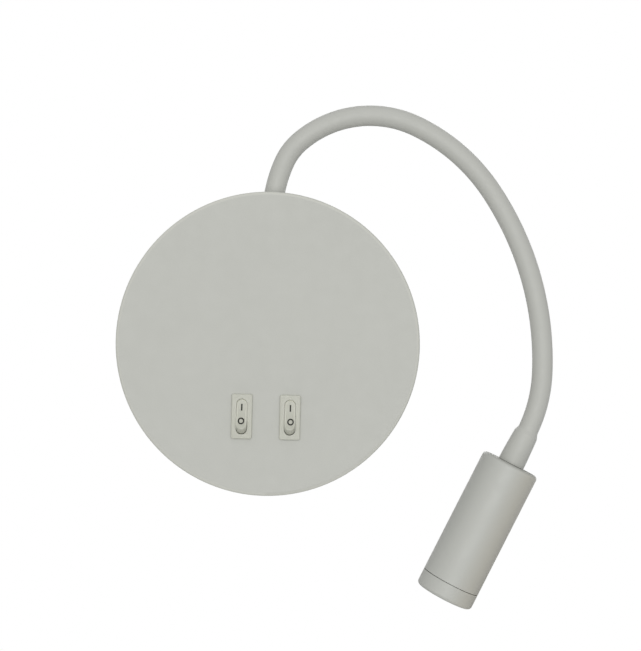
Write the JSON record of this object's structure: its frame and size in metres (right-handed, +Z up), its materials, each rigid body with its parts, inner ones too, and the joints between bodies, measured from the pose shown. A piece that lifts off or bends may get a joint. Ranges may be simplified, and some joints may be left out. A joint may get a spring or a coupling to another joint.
{
  "type": "gooseneck wall lamp",
  "caption": "Round wall lamp with a glowing ring behind its flat cover, rocker switches and a reading head on a bendable gooseneck.",
  "frame": {"origin": "middle of the wall bracket's back face, on the wall", "axes": "+Y into the wall, so the lamp stands out along -Y, +Z up, +X to the right as seen from the room"},
  "size_m": [0.2183, 0.0408, 0.2524],
  "materials": {
    "cover_paint": "matt powder paint, warm light grey",
    "canopy_paint": "matt powder paint, warm light grey",
    "head_paint": "turned aluminium with satin paint, warm light grey",
    "sleeve": "smooth matt silicone sleeve, warm light grey",
    "zinc_steel": "zinc plated sheet",
    "nickel": "nickel plated",
    "brass": "turned brass",
    "contact_brass": "stamped brass",
    "coil_steel": "wound steel wire",
    "bare_aluminium": "bare, slightly brushed",
    "block_plastic": "moulded polyamide",
    "driver_plastic": "moulded case",
    "switch_plastic": "moulded, fine satin, cream grey",
    "rocker_plastic": "moulded, fine satin, cream grey",
    "board": "white solder mask",
    "led": "yellow phosphor",
    "opal": "opal acrylic, satin",
    "clear_lens": "clear acrylic",
    "holder_plastic": "moulded white",
    "gasket": "black rubber",
    "cable": "round two-core sheath",
    "lead_brown": "insulated lead",
    "lead_blue": "insulated lead"
  },
  "bodies": {
    "lamp_body": {"bracket_screws": "nickel", "canopy": "canopy_paint", "cover_nuts": "nickel", "driver_leads": "lead_blue", "driver_screws": "nickel", "earth_screw": "brass", "front_cover": "cover_paint", "gland_nut": "nickel", "gland_washer": "nickel", "halo_board": "board", "halo_diffuser": "opal", "halo_leds": "led", "led_driver": "driver_plastic", "led_plate": "bare_aluminium", "neck_cable": "cable", "neck_coil_base": "coil_steel", "neck_gland": "head_paint", "neck_sleeve": "sleeve", "switch_body_left": "switch_plastic", "switch_body_right": "switch_plastic", "switch_leads": "lead_brown", "switch_pin_left": "nickel", "switch_pin_right": "nickel", "switch_terminals_left": "contact_brass", "switch_terminals_right": "contact_brass", "terminal_block": "block_plastic", "terminal_screws": "nickel", "wall_bracket": "zinc_steel"},
    "neck_01": {"neck_coil_01": "coil_steel"},
    "neck_02": {"neck_coil_02": "coil_steel"},
    "neck_03": {"neck_coil_03": "coil_steel"},
    "neck_04": {"neck_coil_04": "coil_steel"},
    "neck_05": {"neck_coil_05": "coil_steel"},
    "neck_06": {"neck_coil_06": "coil_steel"},
    "neck_07": {"neck_coil_07": "coil_steel"},
    "neck_08": {"neck_coil_08": "coil_steel"},
    "neck_09": {"neck_coil_09": "coil_steel"},
    "neck_10": {"neck_coil_10": "coil_steel"},
    "neck_11": {"neck_coil_11": "coil_steel"},
    "neck_12": {"neck_coil_12": "coil_steel"},
    "head": {"neck_coil_head": "coil_steel", "head_ferrule": "brass", "head_nut": "nickel", "head_barrel": "head_paint", "heat_sink": "bare_aluminium", "spot_board": "board", "spot_led": "led", "lens_holder": "holder_plastic", "spot_lens": "clear_lens", "lens_gasket": "gasket", "front_ring": "head_paint"},
    "rocker_left": {"switch_rocker_left": "rocker_plastic", "switch_plunger_left": "brass"},
    "contact_left": {"switch_contact_left": "contact_brass"},
    "rocker_right": {"switch_rocker_right": "rocker_plastic", "switch_plunger_right": "brass"},
    "contact_right": {"switch_contact_right": "contact_brass"}
  },
  "joints": [
    {"name": "neck_bend_01", "type": "hinge", "parent": "lamp_body", "child": "neck_01", "pos_m": [0, -0.0155, 0.064], "axis": [0, 1, 0], "range_deg": [-25, 5], "deforming": ["neck_sleeve", "neck_cable"]},
    {"name": "neck_bend_02", "type": "hinge", "parent": "neck_01", "child": "neck_02", "pos_m": [0.00531, -0.0155, 0.09094], "axis": [0, 1, 0], "range_deg": [-25, 5], "deforming": ["neck_sleeve", "neck_cable"]},
    {"name": "neck_lift_03", "type": "hinge", "parent": "neck_02", "child": "neck_03", "pos_m": [0.01365, -0.0155, 0.10261], "axis": [0.6587, 0, -0.7524], "range_deg": [0, 25], "deforming": ["neck_sleeve", "neck_cable"]},
    {"name": "neck_bend_04", "type": "hinge", "parent": "neck_03", "child": "neck_04", "pos_m": [0.03148, -0.0155, 0.11302], "axis": [0, 1, 0], "range_deg": [-25, 5], "deforming": ["neck_sleeve", "neck_cable"]},
    {"name": "neck_bend_05", "type": "hinge", "parent": "neck_04", "child": "neck_05", "pos_m": [0.05189, -0.0155, 0.11603], "axis": [0, 1, 0], "range_deg": [-25, 5], "deforming": ["neck_sleeve", "neck_cable"]},
    {"name": "neck_lift_06", "type": "hinge", "parent": "neck_05", "child": "neck_06", "pos_m": [0.07196, -0.0155, 0.11123], "axis": [-0.4131, 0, -0.9107], "range_deg": [0, 25], "deforming": ["neck_sleeve", "neck_cable"]},
    {"name": "neck_bend_07", "type": "hinge", "parent": "neck_06", "child": "neck_07", "pos_m": [0.09294, -0.0155, 0.09814], "axis": [0, 1, 0], "range_deg": [-25, 5], "deforming": ["neck_sleeve", "neck_cable"]},
    {"name": "neck_lift_08", "type": "hinge", "parent": "neck_07", "child": "neck_08", "pos_m": [0.10979, -0.0155, 0.08004], "axis": [-0.8151, 0, -0.5793], "range_deg": [0, 25], "deforming": ["neck_sleeve", "neck_cable"]},
    {"name": "neck_bend_09", "type": "hinge", "parent": "neck_08", "child": "neck_09", "pos_m": [0.12567, -0.0155, 0.0518], "axis": [0, 1, 0], "range_deg": [-25, 5], "deforming": ["neck_sleeve", "neck_cable"]},
    {"name": "neck_lift_10", "type": "hinge", "parent": "neck_09", "child": "neck_10", "pos_m": [0.13528, -0.0155, 0.02086], "axis": [-0.981, 0, -0.1942], "range_deg": [0, 25], "deforming": ["neck_sleeve", "neck_cable"]},
    {"name": "neck_bend_11", "type": "hinge", "parent": "neck_10", "child": "neck_11", "pos_m": [0.13818, -0.0155, -0.01141], "axis": [0, 1, 0], "range_deg": [-25, 5], "deforming": ["neck_sleeve", "neck_cable"]},
    {"name": "neck_lift_12", "type": "hinge", "parent": "neck_11", "child": "neck_12", "pos_m": [0.13623, -0.0155, -0.02717], "axis": [-0.9734, 0, 0.2292], "range_deg": [0, 25], "deforming": ["neck_sleeve", "neck_cable"]},
    {"name": "neck_bend_13", "type": "hinge", "parent": "neck_12", "child": "head", "pos_m": [0.13095, -0.0155, -0.04214], "axis": [0, 1, 0], "range_deg": [-25, 5], "deforming": ["neck_sleeve", "neck_cable"]},
    {"name": "switch_left", "type": "hinge", "parent": "lamp_body", "child": "rocker_left", "pos_m": [-0.01185, -0.0347, -0.0359], "axis": [1, 0, 0], "range_deg": [0, 34]},
    {"name": "contact_tilt_left", "type": "hinge", "parent": "lamp_body", "child": "contact_left", "pos_m": [-0.01185, -0.02715, -0.0359], "axis": [1, 0, 0], "range_deg": [-14, 0]},
    {"name": "switch_right", "type": "hinge", "parent": "lamp_body", "child": "rocker_right", "pos_m": [0.01185, -0.0347, -0.0359], "axis": [1, 0, 0], "range_deg": [0, 34]},
    {"name": "contact_tilt_right", "type": "hinge", "parent": "lamp_body", "child": "contact_right", "pos_m": [0.01185, -0.02715, -0.0359], "axis": [1, 0, 0], "range_deg": [-14, 0]}
  ],
  "couplings": [
    {"joint": "contact_tilt_left", "follows": "switch_left", "ratio": -0.41},
    {"joint": "contact_tilt_right", "follows": "switch_right", "ratio": -0.41}
  ]
}
